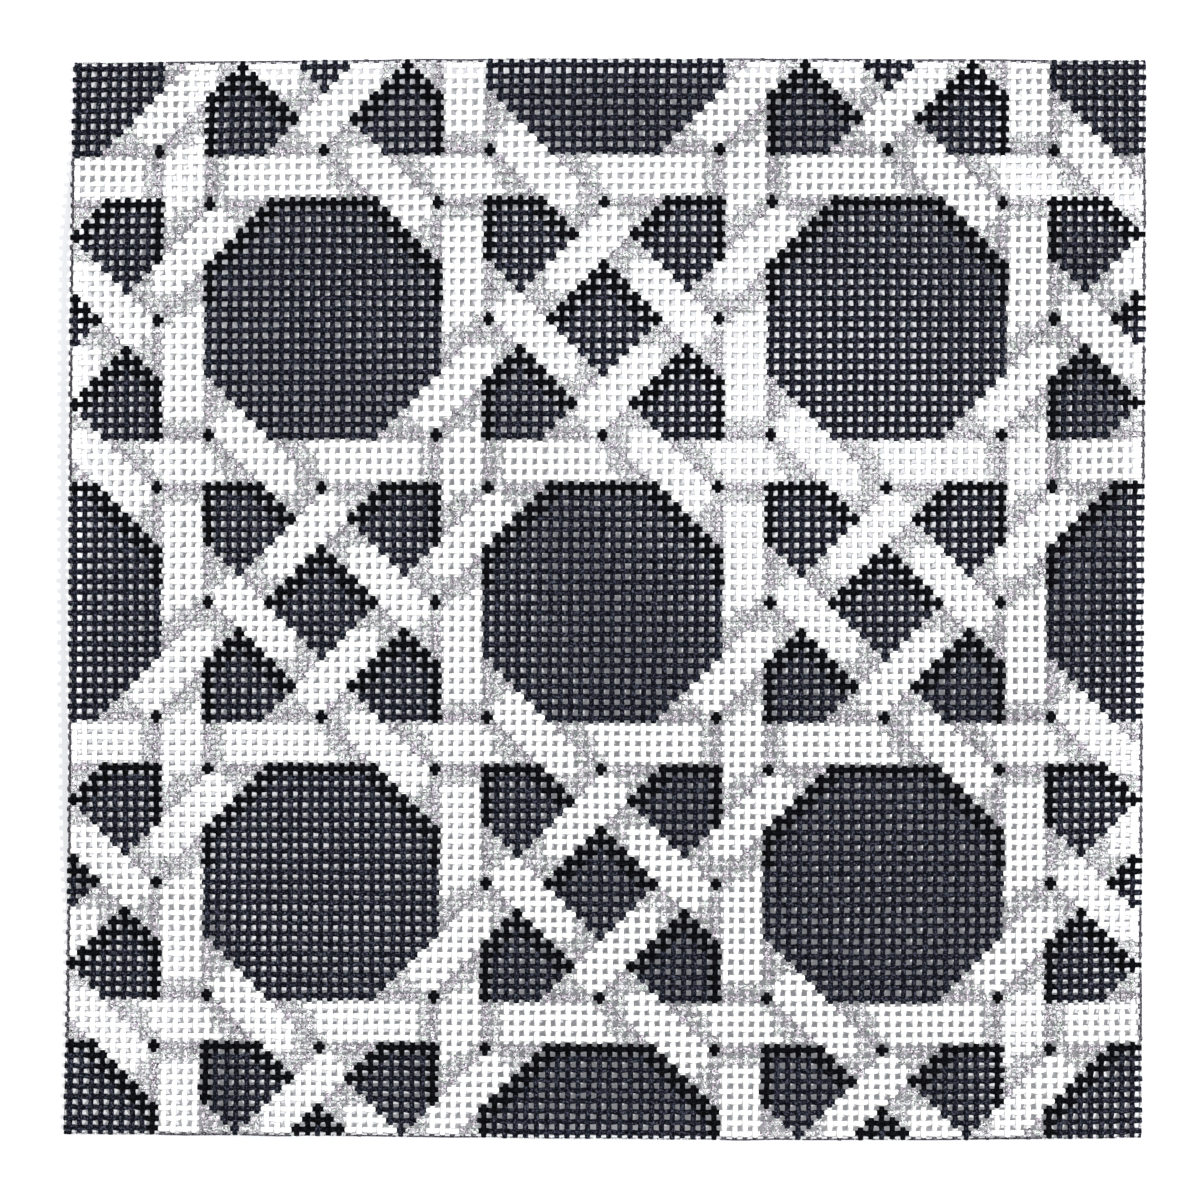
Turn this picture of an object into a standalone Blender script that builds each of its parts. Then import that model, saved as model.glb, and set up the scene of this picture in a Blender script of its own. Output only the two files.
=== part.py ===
"""A square of painted needlepoint canvas, lying on a table.

One flat piece of stiff cotton canvas, cut at the edge of its painted design. It isn't quite square,
because the weave pulls. Its corners lie flat on the table, and it bows up a little between them.
Lengths are in metres, with +X to the right, +Y to the top of the design and +Z up.
"""

import math

import bmesh
import bpy

NAME = "canvas_panel"

# The four corners of the cut canvas, from the middle of its weave.
TOP_LEFT = (-0.0992, 0.1007)
TOP_RIGHT = (0.1014, 0.1013)
BOTTOM_LEFT = (-0.1001, -0.0992)
BOTTOM_RIGHT = (0.1007, -0.1002)
# How far each edge bows out past the straight line between its corners.
TOP_BOW = 0.0010
BOTTOM_BOW = 0.0002
LEFT_BOW = 0.0002

# The canvas is two threads thick where they cross.
THICKNESS = 0.0011
# The grid is fine enough to round the swells and the bowed edges.
CELLS = 30

# The low swells add up. Each has its middle, its reach each way and its height off the table.
SWELLS = (
    ((0.046, -0.054), (0.095, 0.133), 0.0021),
    ((-0.065, 0.013), (0.130, 0.122), 0.0021),
    ((-0.035, -0.150), (0.086, 0.140), 0.0022),
    ((-0.018, 0.098), (0.140, 0.095), 0.0019),
    ((0.072, 0.043), (0.115, 0.082), 0.0018),
)
# How far in from each corner the canvas still lies flat, each way, and how far past that it takes
# to rise to its swells.
FLAT_CORNERS = (
    (TOP_LEFT, (0.014, 0.014)),
    (TOP_RIGHT, (0.014, 0.014)),
    (BOTTOM_LEFT, (0.021, 0.034)),
    (BOTTOM_RIGHT, (0.014, 0.014)),
)
RISE = 0.020

CANVAS_COLOUR = (0.30, 0.30, 0.33, 1.0)
CANVAS_ROUGHNESS = 0.85


def clear_scene():
    for thing in list(bpy.data.objects):
        bpy.data.objects.remove(thing, do_unlink=True)


def place_on_sheet(across, up):
    """The place of a point of the sheet, where across and up run from 0 to 1 between its edges."""
    corners = (
        (TOP_LEFT, (1 - across) * up),
        (TOP_RIGHT, across * up),
        (BOTTOM_LEFT, (1 - across) * (1 - up)),
        (BOTTOM_RIGHT, across * (1 - up)),
    )
    x = sum(corner[0] * share for corner, share in corners)
    y = sum(corner[1] * share for corner, share in corners)
    mid_across = 4 * across * (1 - across)
    mid_up = 4 * up * (1 - up)
    x -= LEFT_BOW * mid_up * (1 - across)
    y += TOP_BOW * mid_across * up - BOTTOM_BOW * mid_across * (1 - up)
    return x, y


def lift(x, y):
    """How far the underside is off the table: the height of the swells, and none at the corners."""
    height = 0.0
    for middle, reach, top in SWELLS:
        away = math.hypot((x - middle[0]) / reach[0], (y - middle[1]) / reach[1])
        if away < 1:
            height += top * (1 - away**2) ** 2
    for corner, flat in FLAT_CORNERS:
        past_x = max(abs(x - corner[0]) - flat[0], 0)
        past_y = max(abs(y - corner[1]) - flat[1], 0)
        risen = min(math.hypot(past_x, past_y) / RISE, 1)
        height *= risen**2 * (3 - 2 * risen)
    return height


def make_sheet():
    """The underside of the canvas as a grid, pulled to its outline and raised in its swells."""
    mesh = bpy.data.meshes.new(NAME)
    grid = bmesh.new()
    bmesh.ops.create_grid(grid, x_segments=CELLS, y_segments=CELLS, size=1)
    for vertex in grid.verts:
        x, y = place_on_sheet((vertex.co.x + 1) / 2, (vertex.co.y + 1) / 2)
        vertex.co = (x, y, lift(x, y))
    # The sheet's box is centred on the origin, where the panel stands.
    for axis in (0, 1):
        ends = [vertex.co[axis] for vertex in grid.verts]
        middle = (min(ends) + max(ends)) / 2
        for vertex in grid.verts:
            vertex.co[axis] -= middle
    grid.to_mesh(mesh)
    grid.free()
    return bpy.data.objects.new(NAME, mesh)


def thicken(sheet):
    """Gives the sheet the canvas's thickness, all of it above the underside."""
    solidify = sheet.modifiers.new("canvas thickness", "SOLIDIFY")
    solidify.thickness = THICKNESS
    solidify.offset = 1.0
    solidify.use_even_offset = True


def painted_canvas():
    """Cotton canvas, sized and painted: matt, and dark grey from a step away."""
    material = bpy.data.materials.new("painted_canvas")
    material.use_nodes = True
    shader = material.node_tree.nodes["Principled BSDF"]
    shader.inputs["Base Color"].default_value = CANVAS_COLOUR
    shader.inputs["Roughness"].default_value = CANVAS_ROUGHNESS
    shader.inputs["Metallic"].default_value = 0.0
    return material


clear_scene()
panel_collection = bpy.data.collections.new("needlepoint canvas panel")
bpy.context.scene.collection.children.link(panel_collection)
panel = make_sheet()
panel_collection.objects.link(panel)
panel.data.materials.append(painted_canvas())
thicken(panel)
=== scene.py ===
"""A square of painted needlepoint canvas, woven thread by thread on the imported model.

Lengths are in metres, with +X to the right, +Y to the top of the design and +Z up. A place on the
canvas is also given in threads: across, counted to the right from the middle upright thread, and
down, counted towards the bottom edge from the middle level thread.
"""

import math

import bpy
import numpy as np
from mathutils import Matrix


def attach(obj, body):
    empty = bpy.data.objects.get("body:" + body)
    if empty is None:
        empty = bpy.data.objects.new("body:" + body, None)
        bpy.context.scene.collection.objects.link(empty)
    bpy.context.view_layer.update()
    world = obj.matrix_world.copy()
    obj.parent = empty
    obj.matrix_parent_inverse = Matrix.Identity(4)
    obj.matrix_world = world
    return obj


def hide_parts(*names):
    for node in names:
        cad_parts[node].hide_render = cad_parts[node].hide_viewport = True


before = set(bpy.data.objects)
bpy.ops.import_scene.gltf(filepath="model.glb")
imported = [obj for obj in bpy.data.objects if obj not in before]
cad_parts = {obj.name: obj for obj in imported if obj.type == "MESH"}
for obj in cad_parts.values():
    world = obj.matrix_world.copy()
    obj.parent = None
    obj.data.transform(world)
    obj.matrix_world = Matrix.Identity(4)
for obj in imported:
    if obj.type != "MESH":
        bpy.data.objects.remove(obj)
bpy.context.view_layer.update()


# ---------------------------------------------------------------------------------------------
# The lie of the canvas
# Mono needlepoint canvas: single stiff cotton threads in plain weave, 13 to the inch each way.
# It was cut beside the last painted thread, so it runs just past thread 51 on each side. The
# weave has pulled a little out of square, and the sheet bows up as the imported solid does.

PITCH = 0.0254 / 13
LAST = 51
THREADS = 2 * LAST + 1

# Where the cut runs, in threads from the middle one.
CUT_LEFT, CUT_RIGHT = -51.6, 51.94
CUT_TOP, CUT_BOTTOM = -51.57, 51.58

# How far the threads have strayed from an even grid, in threads. Each term is a share times
# right**i * lower**j, where right and lower run from -1 at one edge of the canvas to 1 at the
# other.
STRAY_RIGHT = {
    (0, 1): -0.23, (0, 3): -0.10, (1, 0): -0.09, (1, 1): -0.32, (1, 3): 0.28,
    (2, 0): 0.56, (3, 0): -0.33, (3, 1): 0.18, (4, 0): -0.33,
}
STRAY_DOWN = {
    (0, 1): -0.05, (0, 2): -0.69, (0, 4): 0.27, (1, 0): 0.11, (1, 1): 0.26, (1, 2): 0.07,
    (2, 1): -0.29, (2, 2): 0.09, (3, 0): -0.16, (3, 1): -0.11, (4, 0): -0.08,
}

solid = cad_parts["canvas_panel"]
solid_points = [vertex.co.copy() for vertex in solid.data.vertices]

# The solid's top left corner lies this far from the middle crossing of the weave.
CORNER_FROM_MIDDLE = (-0.0992, 0.1007)
top_left = max(solid_points, key=lambda point: point.y - point.x)
middle_x, middle_y = top_left.x - CORNER_FROM_MIDDLE[0], top_left.y - CORNER_FROM_MIDDLE[1]


def at_mean_height(across, down):
    """The X and Y of places given in threads, where the canvas is raised by its mean."""
    right, lower = across / LAST, down / LAST
    stray_right = sum(share * right**i * lower**j for (i, j), share in STRAY_RIGHT.items())
    stray_down = sum(share * right**i * lower**j for (i, j), share in STRAY_DOWN.items())
    return middle_x + PITCH * (across + stray_right), middle_y - PITCH * (down + stray_down)


SOFTENINGS = 3


def soften(grid):
    """Averages each crossing with its neighbours, so that the solid's flat facets don't show."""
    for _ in range(SOFTENINGS):
        padded = np.pad(grid, 1, mode="edge")
        beside = padded[:-2, 1:-1] + padded[2:, 1:-1] + padded[1:-1, :-2] + padded[1:-1, 2:]
        grid = beside / 8 + grid / 2
    return grid


INSIDE = 0.99  # the places measured are drawn in a little, so that all are under the solid
BELOW = -1.0  # metres down, where each measure starts
counts = np.arange(-LAST, LAST + 1)
grid_down, grid_across = np.meshgrid(counts, counts, indexing="ij")
grid_x, grid_y = at_mean_height(grid_across, grid_down)
underside = np.zeros((THREADS, THREADS))
for row in range(THREADS):
    for column in range(THREADS):
        start = (grid_x[row, column] * INSIDE, grid_y[row, column] * INSIDE, BELOW)
        hit, place, _, _ = solid.ray_cast(start, (0, 0, 1))
        underside[row, column] = place.z if hit else 0.0
underside = soften(underside)


def height(across, down):
    """How high the underside lies at places given in threads, between the crossings measured."""
    short_of_last = THREADS - 1.001
    a = np.clip(across + LAST, 0, short_of_last)
    b = np.clip(down + LAST, 0, short_of_last)
    column, row = a.astype(int), b.astype(int)
    a, b = a - column, b - row
    upper = underside[row, column] * (1 - a) + underside[row, column + 1] * a
    lower = underside[row + 1, column] * (1 - a) + underside[row + 1, column + 1] * a
    return upper * (1 - b) + lower * b


# The photo was taken from close above, with the middle crossing at (602, 603) of its 1200 pixels
# and 10.46 of them to a thread. What is raised looks further out than it is, and larger.
PHOTO_SIDE = 1200
PIXELS_PER_THREAD = 10.46
MIDDLE_PIXEL = (602, 603)
CAMERA_UP = 0.34
pixel = PITCH / PIXELS_PER_THREAD
camera_x = middle_x - (MIDDLE_PIXEL[0] - PHOTO_SIDE / 2) * pixel
camera_y = middle_y + (MIDDLE_PIXEL[1] - PHOTO_SIDE / 2) * pixel
mean_height = underside.mean()


def on_canvas(across, down):
    """The X, Y and Z of the canvas's underside at places given in threads."""
    x, y = at_mean_height(across, down)
    z = height(across, down)
    nearer = (CAMERA_UP - z) / (CAMERA_UP - mean_height)
    return camera_x + (x - camera_x) * nearer, camera_y + (y - camera_y) * nearer, z


# ---------------------------------------------------------------------------------------------
# The painted design
# A chair seat's cane, in the common six-way pattern: pairs of uprights and levels, here painted
# as strands four threads wide, and two sets of diagonals five threads wide. They frame octagons
# and crossed squares by turns, every 27 threads. Each stitch is one crossing of the canvas.

WHITE, PALE, MID, SLATE, BLACK, LINE = range(6)
REPEAT = 27
STRAIGHT_LINES = range(12, 16)
DIAGONAL_SETS = (range(17, 22), range(33, 38))
MIDDLE_LINE, LAST_LINE = 2, 4  # of a diagonal's five, counted from 0
UPRIGHT, LEVEL, RISING, FALLING = range(4)
STEP_ALONG = {UPRIGHT: (0, 1), LEVEL: (1, 0), RISING: (1, -1), FALLING: (1, 1)}
NEAR_MIDDLE = 4  # within this of a cell's middle line, the rising diagonal is the upper one

# How many grey stitches each line of a diagonal has beside a straight strand, and the most of all.
GREY_BY_LINE = (3, 2, 2, 1, 1)
MOST_GREY = 3

# The black in an opening is one stitch wide along a straight strand, which starts past the last
# stitch counted from the cell's middle, and two wide under a diagonal. Down the sides of an
# octagon it ends above the middle.
LAST_STITCH = 11
PAST_DIAGONAL = [lines[-1] + step for lines in DIAGONAL_SETS for step in (1, 2)]
SHORT_OF_DIAGONAL = [lines[0] - step for lines in DIAGONAL_SETS for step in (1, 2)]
BLACK_ENDS = -2


def line_in_diagonal(count):
    """Which of a diagonal strand's five lines this is, from 0 to 4, or None between strands."""
    for lines in DIAGONAL_SETS:
        if count % (2 * REPEAT) in lines:
            return count % (2 * REPEAT) - lines[0]
    return None


def strands_at(across, down):
    """The strands that pass through this stitch, on top or under."""
    passing = set()
    if across % REPEAT in STRAIGHT_LINES:
        passing.add(UPRIGHT)
    if down % REPEAT in STRAIGHT_LINES:
        passing.add(LEVEL)
    if line_in_diagonal(across + down) is not None:
        passing.add(RISING)
    if line_in_diagonal(across - down) is not None:
        passing.add(FALLING)
    return passing


def from_cell_middle(count):
    """(number of the cell, threads from its middle)."""
    cell = (count + REPEAT // 2) // REPEAT
    return cell, count - cell * REPEAT


def top_strand(across, down):
    """The strand that shows at this stitch, or None in an opening."""
    passing = strands_at(across, down)
    if len(passing) < 2:
        return passing.pop() if passing else None
    if passing == {UPRIGHT, LEVEL}:
        return UPRIGHT if (across // REPEAT + down // REPEAT) % 2 == 0 else LEVEL
    if passing == {RISING, FALLING}:
        return RISING if abs(from_cell_middle(across)[1]) <= NEAR_MIDDLE else FALLING
    if RISING in passing:
        return RISING if UPRIGHT in passing else LEVEL
    return UPRIGHT if UPRIGHT in passing else FALLING


def shade_beside(strand, over, steps, towards, across, down):
    """The grey of a stitch that is this many steps along its strand from where another covers it."""
    first = MID
    if strand in (UPRIGHT, LEVEL) and over in (UPRIGHT, LEVEL):
        reach = 2
    elif strand in (UPRIGHT, LEVEL):
        in_first_half = (across if strand == UPRIGHT else down) % REPEAT < STRAIGHT_LINES[2]
        reach = 3 if in_first_half == ((towards > 0) == (strand == UPRIGHT)) else 2
    else:
        line = line_in_diagonal(across + down if strand == RISING else across - down)
        if over in (UPRIGHT, LEVEL):
            line = line if (strand == FALLING) == (towards > 0) else LAST_LINE - line
            reach = GREY_BY_LINE[line]
            first = PALE if line == LAST_LINE else MID
        else:
            reach = 1 if line == MIDDLE_LINE else 2
            first = MID if line % 2 else PALE
    if steps > reach:
        return WHITE
    return first if steps == 1 else PALE


def opening_paint(across, down):
    """Slate, with the black shadow that the strands cast into the opening along its top edges."""
    (column, across_cell), (row, down_cell) = from_cell_middle(across), from_cell_middle(down)
    octagon = (column + row) % 2 == 0
    under_rising = (across + down) % (2 * REPEAT) in PAST_DIAGONAL
    under_falling = (across - down) % (2 * REPEAT) in SHORT_OF_DIAGONAL
    under_level = down_cell == -LAST_STITCH
    beside_upright = abs(across_cell) == LAST_STITCH and (not octagon or down_cell <= BLACK_ENDS)
    at_corner = abs(across_cell) == LAST_STITCH or (across_cell == 0 and not octagon)
    lone_stitch = at_corner and abs(down_cell) == LAST_STITCH
    dark = under_rising or under_falling or under_level or beside_upright or lone_stitch
    return BLACK if dark else SLATE


def stitch_paint(across, down):
    """The paint of one stitch. A strand is white, and grey beside where another covers it."""
    strand = top_strand(across, down)
    if strand is None:
        return opening_paint(across, down)
    greys = [WHITE]
    for towards in (1, -1):
        for steps in range(1, MOST_GREY + 1):
            there = (
                across + towards * steps * STEP_ALONG[strand][0],
                down + towards * steps * STEP_ALONG[strand][1],
            )
            if strand not in strands_at(*there):
                break
            over = top_strand(*there)
            if over != strand:
                greys.append(shade_beside(strand, over, steps, towards, across, down))
                break
    return max(greys)


design = np.array([[stitch_paint(across, down) for across in counts] for down in counts])


# ---------------------------------------------------------------------------------------------
# The paints
# Thin acrylic brushed on one crossing at a time, matt and soaked into the cotton. It is put on
# from the front and runs some way down the flanks. The dark paints run furthest, and the back of
# every thread stays raw, in a grey that also paints shade on the bare flanks of white threads.
# The dark paints' lightest flecks are lighter fibres and painted glints of light.


def linear(hex_colour):
    """An sRGB hex colour as a linear one with full alpha."""
    parts = [int(hex_colour[i : i + 2], 16) / 255 for i in (1, 3, 5)]
    return [c / 12.92 if c <= 0.04045 else ((c + 0.055) / 1.055) ** 2.4 for c in parts] + [1.0]


def add(tree, kind, inputs=None, **settings):
    """Adds a node. Each input, by name or number, gets a value or the socket it is linked from."""
    node = tree.nodes.new(kind)
    for name, value in settings.items():
        setattr(node, name, value)
    for name, value in (inputs or {}).items():
        if isinstance(value, bpy.types.NodeSocket):
            tree.links.new(value, node.inputs[name])
        else:
            node.inputs[name].default_value = value
    return node


# Raw cotton, painted a grey darker than the real cotton: on the bare flanks of white threads it is
# painted shade round the holes.
RAW_COTTON_AND_FLANK_SHADE = "#C4C6CA"
SOAKED = 0.15  # how much of the paint has soaked through to the back
PLY_TURN_MM = 1.6  # one turn of the twist
STIPPLE = 0.00021  # the size of one dab
FIBRE = 0.00011  # the cotton's fibres are finer still, and are drawn this coarse to show
STREAKS_ROUND, STREAKS_ALONG = 9.0, 1.6  # fine streaks to a turn and to a millimetre
THICKEST, THINNEST = 0.3, 0.7  # the streaks' noise where the paint lies thickest and thinnest
RAGGED = 0.8  # how far the streaks carry the paint's lower edge up and down the flank
FADE = 0.3  # over how much of the flank the paint thins out
RELIEF = 0.00008  # the depth of the groove between the plies
FIBRE_RELIEF = 0.6  # how deep the fibres are, against that groove


def thread_paint(name, tones, tint, dabbed, bare_from):
    """Paint on a two-ply cotton thread.

    The tones run from where the paint lies thick to where it is thin; in the dark paints the
    lightest tones are lighter fibres and painted glints of light. The tint is a pair of colours
    that the dabs lean to. Dabbed is how far the paint is in separate dabs, from 0 to 1, and the
    rest of it follows the fibres in fine streaks. Bare_from is how far down the flank the paint
    ends, from 1 at the front of the thread to -1 at its back. The bare cotton is painted greyer
    than it is, as shade along the flanks of white threads.
    """
    material = bpy.data.materials.new(name)
    material.use_nodes = True
    tree = material.node_tree
    tree.nodes.clear()
    where = add(tree, "ShaderNodeTexCoord").outputs["Object"]
    round_along = add(tree, "ShaderNodeUVMap", uv_map="thread").outputs["UV"]

    # The streaks are about twice as long as they are wide.
    lie = add(tree, "ShaderNodeMapping", {0: round_along, 3: (STREAKS_ROUND, STREAKS_ALONG, 1.0)})
    streaks = add(tree, "ShaderNodeTexNoise", {"Vector": lie.outputs[0], "Scale": 1.0, "Detail": 3.0})
    dabs = add(tree, "ShaderNodeTexVoronoi", {"Vector": where, "Scale": 1 / STIPPLE})
    chance = add(tree, "ShaderNodeSeparateColor", {0: dabs.outputs["Color"]})
    spread = add(tree, "ShaderNodeMapRange", {"Value": streaks.outputs[0], 1: THICKEST, 2: THINNEST})
    thin_paint_and_glints = add(
        tree, "ShaderNodeMix", {0: dabbed, 2: spread.outputs[0], 3: chance.outputs[0]}, data_type="FLOAT"
    )
    # In the dark paints the thin end of this ramp is lighter fibres and painted glints of light.
    ramp = add(tree, "ShaderNodeValToRGB", {0: thin_paint_and_glints.outputs[0]})
    stops = ramp.color_ramp.elements
    for _ in tones[2:]:
        stops.new(0.5)
    for order, (stop, tone) in enumerate(zip(stops, tones)):
        stop.position = order / (len(tones) - 1)
        stop.color = linear(tone)
    leaning = add(
        tree,
        "ShaderNodeMix",
        {0: chance.outputs[1], 6: linear(tint[0]), 7: linear(tint[1])},
        data_type="RGBA",
    )
    paint = add(
        tree,
        "ShaderNodeMix",
        {0: 1.0, 6: ramp.outputs[0], 7: leaning.outputs[2]},
        data_type="RGBA",
        blend_type="MULTIPLY",
    )

    # The paint ends in a ragged edge, and the cotton behind is stained by what has soaked through.
    front = add(tree, "ShaderNodeAttribute", attribute_name="front").outputs["Fac"]
    ragged = add(
        tree,
        "ShaderNodeMath",
        {0: streaks.outputs[0], 1: RAGGED, 2: front},
        operation="MULTIPLY_ADD",
    )
    edge = bare_from + RAGGED / 2
    # Below the paint's edge the cotton shows, and its grey is painted shade on the flanks of white
    # threads.
    bare_and_flank_shade = add(
        tree,
        "ShaderNodeMapRange",
        {"Value": ragged.outputs[0], 1: edge, 2: edge - FADE, 4: 1 - SOAKED},
    )
    colour = add(
        tree,
        "ShaderNodeMix",
        {0: bare_and_flank_shade.outputs[0], 6: paint.outputs[2], 7: linear(RAW_COTTON_AND_FLANK_SHADE)},
        data_type="RGBA",
    )

    # Two plies twisted together leave a groove that turns round the thread.
    round_and_along = add(tree, "ShaderNodeSeparateXYZ", {0: round_along})
    turn = add(
        tree,
        "ShaderNodeMath",
        {0: round_and_along.outputs[1], 1: 1 / PLY_TURN_MM, 2: round_and_along.outputs[0]},
        operation="MULTIPLY_ADD",
    )
    angle = add(tree, "ShaderNodeMath", {0: turn.outputs[0], 1: 2 * math.pi}, operation="MULTIPLY")
    wave = add(tree, "ShaderNodeMath", {0: angle.outputs[0]}, operation="SINE")
    plies = add(tree, "ShaderNodeMath", {0: wave.outputs[0]}, operation="ABSOLUTE")
    fibres = add(tree, "ShaderNodeTexNoise", {"Vector": where, "Scale": 1 / FIBRE, "Detail": 2.0})
    relief = add(
        tree,
        "ShaderNodeMath",
        {0: fibres.outputs[0], 1: FIBRE_RELIEF, 2: plies.outputs[0]},
        operation="MULTIPLY_ADD",
    )
    bump = add(
        tree,
        "ShaderNodeBump",
        {"Height": relief.outputs[0], "Strength": 0.6, "Distance": RELIEF},
    )
    shader = add(
        tree,
        "ShaderNodeBsdfPrincipled",
        {
            "Base Color": colour.outputs[2],
            "Roughness": 0.8,
            "IOR": 1.5,
            "Specular IOR Level": 0.03,
            "Normal": bump.outputs[0],
        },
    )
    add(tree, "ShaderNodeOutputMaterial", {"Surface": shader.outputs[0]})
    return material


NO_TINT = ("#FFFFFF", "#FFFFFF")
GREEN_TO_MAUVE = ("#EEFFF2", "#FFECFF")
PAINTS = {
    # Opaque white, thick enough to stay on the front of a thread and leave its flanks bare, where the
    # grey cotton is a painted shade along the thread's edges.
    WHITE: thread_paint("white_paint", ("#E6E6E4", "#F6F6F4"), NO_TINT, 0.5, 0.3),
    # Two greys dabbed thinly over white, which leave it showing between the dabs.
    PALE: thread_paint(
        "pale_grey_paint", ("#2C2E2E", "#9A9C9B", "#C8CAC9", "#FFFFFF"), GREEN_TO_MAUVE, 1.0, 0.1
    ),
    MID: thread_paint(
        "mid_grey_paint", ("#2C2A2E", "#7D7B80", "#ABA8AD", "#FEFBFF"), GREEN_TO_MAUVE, 1.0, 0.1
    ),
    # A blue black, through which lighter fibres show, and a black that is thicker and flatter. The
    # lightest tones of both are partly painted glints of light, as the surface itself hardly shines.
    SLATE: thread_paint(
        "slate_paint", ("#000002", "#05060C", "#151822", "#5A5E6F"), GREEN_TO_MAUVE, 0.8, -0.1
    ),
    BLACK: thread_paint(
        "black_paint", ("#000000", "#020203", "#202028"), GREEN_TO_MAUVE, 0.6, -0.1
    ),
    # The line drawn round the design, which takes badly on the frayed ends of light threads.
    LINE: thread_paint("edge_line", ("#08070A", "#39363E", "#AFABB3"), NO_TINT, 0.5, -0.45),
}


# ---------------------------------------------------------------------------------------------
# The warp
# The upright threads, one to each column of stitches, flattened by the sizing to about 1 by
# 0.5 mm and bent over one level thread and under the next. Light cut ends carry the black line
# drawn round the design. Past the last thread on each side is a sliver of one that the cut split.

THREAD_HALF_WIDTH = 0.00051
THREAD_HALF_DEPTH = 0.00023
CRIMP = 0.00024
SHEET_HALF_DEPTH = CRIMP + THREAD_HALF_DEPTH
SIDES = 6
FLOAT_HALF = 0.2  # half the level part of each float, in threads
BOLD = 0.08  # how much wider a thread is where the thick black paint clogs it
SPREAD = 0.1  # how far the black runs into the next stitch, in threads
side = np.arange(SIDES)
angles = side * 2 * math.pi / SIDES
RINGS = 3 * THREADS + 3
GROUPS = 3

# Where each sliver lies, in threads from the middle one, and how thick it is, against a thread.
UPRIGHT_SLIVERS = {-51.46: 0.45, 51.86: 0.4}
LEVEL_SLIVERS = {-51.62: 0.3, 51.62: 0.3}
SLIVER_RISE = -1.5  # a sliver has slipped under the cut ends, this many times the crimp

# Where the black line at each cut starts, in threads.
LINE_LEFT, LINE_RIGHT, LINE_TOP, LINE_BOTTOM = -51.24, 51.56, -51.29, 51.32

# How wide a thread is in each place, against its mean.
WIDER_ON_TOP = 0.03  # added on top of a crossing, and taken off under it
BETWEEN_CROSSINGS = 0.98
CUT_END = 0.95
WIDTH_SPREAD = 0.04  # from thread to thread

# How much of its rise a thread keeps where the black line starts, and at the cut.
RISE_AT_LINE, RISE_AT_CUT = 0.6, 0.1

# How unevenly the threads lie, all in threads: the slow wander of each one, its place as a
# whole, where it dips from one side to the other, and the length of its ends.
WANDER, SET_APART, DIP_SPREAD, END_SPREAD = 0.024, 0.014, 0.04, 0.05
SMOOTHING = (1, 2, 3, 2, 1)  # the shares of five neighbours in a wander
SMOOTHED = 4.4  # about the spread that those shares add up to

MM = 1000  # millimetres in a metre
STRIP, MARGIN = 0.92, 0.04  # how much of its strip of the map a thread fills, and where it starts
LENGTH_OF_MAP, MAP_START = 0.98, 0.01
wobble = np.random.RandomState(13)


def wander():
    """How far each thread of a set strays sideways at each crossing, in threads."""
    stray = wobble.normal(0, 1, (THREADS, THREADS + len(SMOOTHING) - 1))
    stray = sum(stray[:, i : i + THREADS] * share for i, share in enumerate(SMOOTHING)) / SMOOTHED
    return WANDER * stray + wobble.normal(0, SET_APART, (THREADS, 1))


warp_stray = wander()  # by column, then row
weft_stray = wander()  # by row, then column


def stations(number, stray, cross_stray, ends, lines, over_first, painted):
    """Where a thread's rings lie: along it, sideways, how high in the crimp, and how wide."""
    rows = np.zeros((RINGS, 4))
    crossings = counts + cross_stray
    ups = np.where((counts + over_first) % 2 == 0, 1.0, -1.0)
    black = (painted == BLACK).astype(float)
    wide = (1 + WIDER_ON_TOP * ups) * (1 + BOLD * black)
    rows[2:-2:3] = np.stack([crossings - FLOAT_HALF, stray, ups, wide], 1)
    rows[3:-1:3] = np.stack([crossings + FLOAT_HALF, stray, ups, wide], 1)
    between = (crossings[1:] + crossings[:-1]) / 2 + wobble.normal(0, DIP_SPREAD, THREADS - 1)
    between -= SPREAD * np.diff(black)
    level = np.zeros(THREADS - 1)
    rows[4:-4:3] = np.stack([between, (stray[1:] + stray[:-1]) / 2, level, level + BETWEEN_CROSSINGS], 1)
    ends = np.array(ends) + wobble.uniform(-END_SPREAD, END_SPREAD, 2)
    for end, (at_cut, at_line) in enumerate(((0, 1), (-1, -2))):
        rows[at_cut] = ends[end], stray[at_cut], RISE_AT_CUT * ups[at_cut], CUT_END
        rows[at_line] = lines[end], stray[at_cut], RISE_AT_LINE * ups[at_cut], 1.0
    rows[:, 1] += number
    return rows.T


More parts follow.
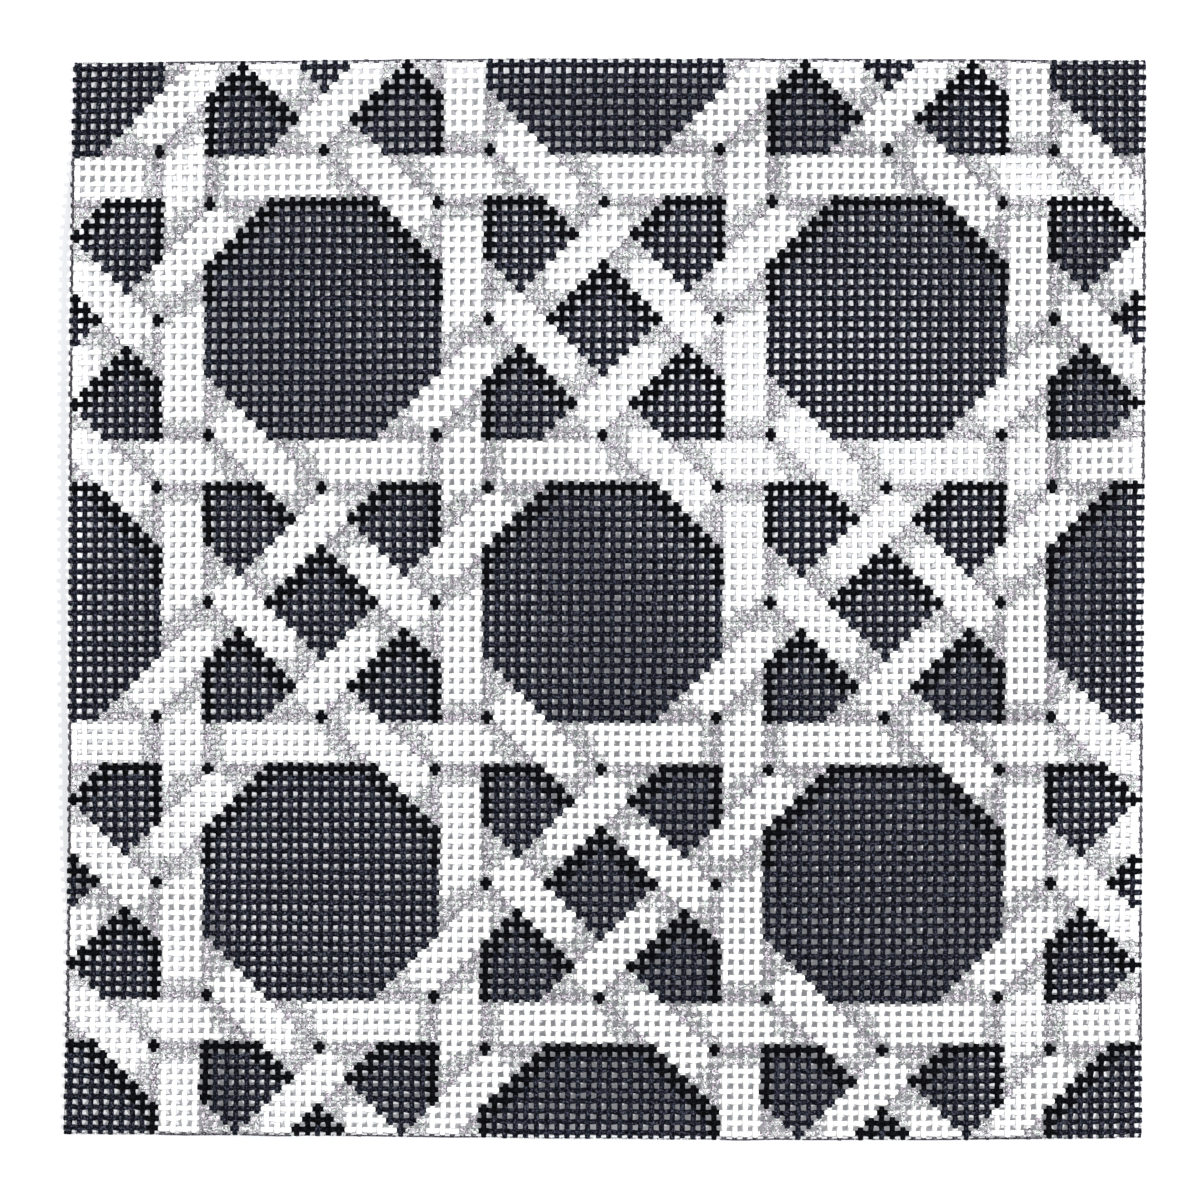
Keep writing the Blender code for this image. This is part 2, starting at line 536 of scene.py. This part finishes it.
def tube(number, upright):
    """One thread's points, ring by ring, the paint of each stretch, and how far along each ring is."""
    size = (UPRIGHT_SLIVERS if upright else LEVEL_SLIVERS).get(number, 1)
    sliver = size < 1
    own, crossing = (warp_stray, weft_stray) if upright else (weft_stray, warp_stray)
    nearest = int(np.clip(number, -LAST, LAST)) + LAST
    painted = design[:, nearest] if upright else design[nearest]
    along, aside, rise, wide = stations(
        number,
        own[nearest],
        crossing[:, nearest],
        (CUT_TOP, CUT_BOTTOM) if upright else (CUT_LEFT, CUT_RIGHT),
        (LINE_TOP, LINE_BOTTOM) if upright else (LINE_LEFT, LINE_RIGHT),
        nearest + upright,
        painted,
    )
    if sliver:
        rise = np.full(RINGS, SLIVER_RISE)
    across, down = (aside, along) if upright else (along, aside)
    x, y, z = on_canvas(across, down)
    middle = np.stack([x, y, z + SHEET_HALF_DEPTH + CRIMP * rise], 1)
    heading = np.gradient(middle, axis=0)
    heading /= np.linalg.norm(heading, axis=1, keepdims=True)
    sideways = np.cross((0, 0, 1), heading)
    sideways /= np.linalg.norm(sideways, axis=1, keepdims=True)
    outward = np.cross(heading, sideways)
    wide = wide * (1 + wobble.normal(0, WIDTH_SPREAD))
    half_width, half_depth = THREAD_HALF_WIDTH * size * wide, THREAD_HALF_DEPTH * size / wide
    ring = middle[:, None] + (
        sideways[:, None] * np.cos(angles)[:, None] * half_width[:, None, None]
        + outward[:, None] * np.sin(angles)[:, None] * half_depth[:, None, None]
    )
    tips = np.where(painted[[0, -1]] < SLATE, LINE, painted[[0, -1]])
    # A sliver carries the black line beside light stitches, and is pale beside dark ones.
    if sliver:
        painted = np.where(painted < SLATE, LINE, PALE)
    paints = np.concatenate([tips[:1], np.repeat(painted, 3), tips[1:]])
    steps = np.linalg.norm(np.diff(middle, axis=0), axis=1)
    return ring.reshape(-1, 3), paints, np.concatenate([[0], np.cumsum(steps)]) * MM


def lay_out(mesh, lengths, caps):
    """Two maps, in which the caps on the cut ends are left at a corner.

    One map holds turns round the thread and millimetres along it. The other lays each thread out
    in a strip of its own.
    """
    threads = len(lengths)
    turns = np.stack([side, side + 1, side + 1, side], -1) / SIDES
    turns = np.broadcast_to(turns, (threads, RINGS - 1, SIDES, 4))
    ends = np.stack([lengths[:, :-1], lengths[:, :-1], lengths[:, 1:], lengths[:, 1:]], -1)
    ends = np.broadcast_to(ends[:, :, None], turns.shape)
    strips = (np.arange(threads)[:, None, None, None] + MARGIN + STRIP * turns) / threads
    for title, right, up in (
        ("thread", turns, ends),
        ("OFBake", strips, ends / lengths.max() * LENGTH_OF_MAP + MAP_START),
    ):
        caps_map = np.zeros((caps * SIDES, 2))
        whole = np.concatenate([np.stack([right, up], -1).reshape(-1, 2), caps_map])
        mesh.uv_layers.new(name=title).data.foreach_set("uv", whole.ravel().astype(np.float32))


def weave(name, group, upright):
    """One group of like threads as a single mesh of closed tubes."""
    points, paints, lengths = zip(*[tube(number, upright) for number in group])
    threads = len(group)

    # A quad for each side of each stretch, and a cap on each cut end.
    first = (np.arange(threads)[:, None] * RINGS + np.arange(RINGS - 1)) * SIDES
    after = (side + 1) % SIDES
    corners = np.stack([side, after, SIDES + after, SIDES + side], -1)
    quads = (first[..., None, None] + corners).reshape(-1, 4)
    caps = [start + side[::-1] for start in first[:, 0]]
    caps += [start + SIDES + side for start in first[:, -1]]
    mesh = bpy.data.meshes.new(name)
    mesh.from_pydata(np.concatenate(points), [], quads.tolist() + [cap.tolist() for cap in caps])
    for paint in sorted(PAINTS):
        mesh.materials.append(PAINTS[paint])
    tips = [paint[0] for paint in paints] + [paint[-1] for paint in paints]
    paints = np.concatenate([np.repeat(np.concatenate(paints), SIDES), tips])
    mesh.polygons.foreach_set("material_index", paints.astype(np.int32))
    mesh.polygons.foreach_set("use_smooth", np.arange(len(paints)) < len(quads))
    front = np.tile(np.sin(angles), threads * RINGS).astype(np.float32)
    mesh.attributes.new("front", "FLOAT", "POINT").data.foreach_set("value", front)
    lay_out(mesh, np.array(lengths), len(caps))
    piece = bpy.data.objects.new(name, mesh)
    bpy.context.scene.collection.objects.link(piece)
    return piece


def declare(piece):
    """Attaches a group of threads, one share of the sheet, to the root, and hides the solid."""
    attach(piece, "root")
    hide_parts("canvas_panel")


uprights = sorted([*counts, *UPRIGHT_SLIVERS])
for name, group in zip(("warp_left", "warp_middle", "warp_right"), np.array_split(uprights, GROUPS)):
    declare(weave(name, group, True))


# ---------------------------------------------------------------------------------------------
# The weft
# The level threads, the same yarn as the warp and cut and split as it is. Each passes over the
# uprights that pass under.

levels = sorted([*counts, *LEVEL_SLIVERS])
for name, group in zip(("weft_top", "weft_middle", "weft_bottom"), np.array_split(levels, GROUPS)):
    declare(weave(name, group, False))


# ---------------------------------------------------------------------------------------------
# The table, the lights and the camera
# A pale matt table top, seen straight down and far wider than the picture. One lamp stands off
# to the right and a weaker one beyond the top left corner, and white walls fill the shadows.

TABLE_HALF = 4.0
table_material = bpy.data.materials.new("pale_table")
table_material.use_nodes = True
table_shader = table_material.node_tree.nodes["Principled BSDF"]
table_shader.inputs["Base Color"].default_value = linear("#E4E5E8")
table_shader.inputs["Roughness"].default_value = 0.8
table_mesh = bpy.data.meshes.new("floor")
table_corners = [(x * TABLE_HALF, y * TABLE_HALF, 0) for x, y in ((-1, -1), (1, -1), (1, 1), (-1, 1))]
table_mesh.from_pydata(table_corners, [], [(0, 1, 2, 3)])
table_mesh.materials.append(table_material)
table = bpy.data.objects.new("floor", table_mesh)
bpy.context.scene.collection.objects.link(table)

LAMP_SIZE = 0.1
LAMPS = (("lamp_right", (1.63, -0.13, 1.47), 47.0), ("lamp_top_left", (-0.83, 0.88, 0.67), 13.2))
WALLS = 0.75  # how bright the walls are
SENSOR_MM = 36
for name, place, watts in LAMPS:
    light = bpy.data.lights.new(name, "AREA")
    light.size = LAMP_SIZE
    light.energy = watts
    lamp = bpy.data.objects.new(name, light)
    lamp.location = place
    lamp.rotation_euler = lamp.location.to_track_quat("Z", "Y").to_euler()
    bpy.context.scene.collection.objects.link(lamp)

world = bpy.data.worlds.new("white_walls")
world.use_nodes = True
world.node_tree.nodes["Background"].inputs["Color"].default_value = (1, 1, 1, 1)
world.node_tree.nodes["Background"].inputs["Strength"].default_value = WALLS
bpy.context.scene.world = world
bpy.context.scene.view_settings.view_transform = "Standard"

camera_data = bpy.data.cameras.new("camera")
camera_data.sensor_width = SENSOR_MM
camera_data.lens = SENSOR_MM * (CAMERA_UP - mean_height) / (PHOTO_SIDE * pixel)
camera = bpy.data.objects.new("camera", camera_data)
camera.location = (camera_x, camera_y, CAMERA_UP)
bpy.context.scene.collection.objects.link(camera)
bpy.context.scene.camera = camera
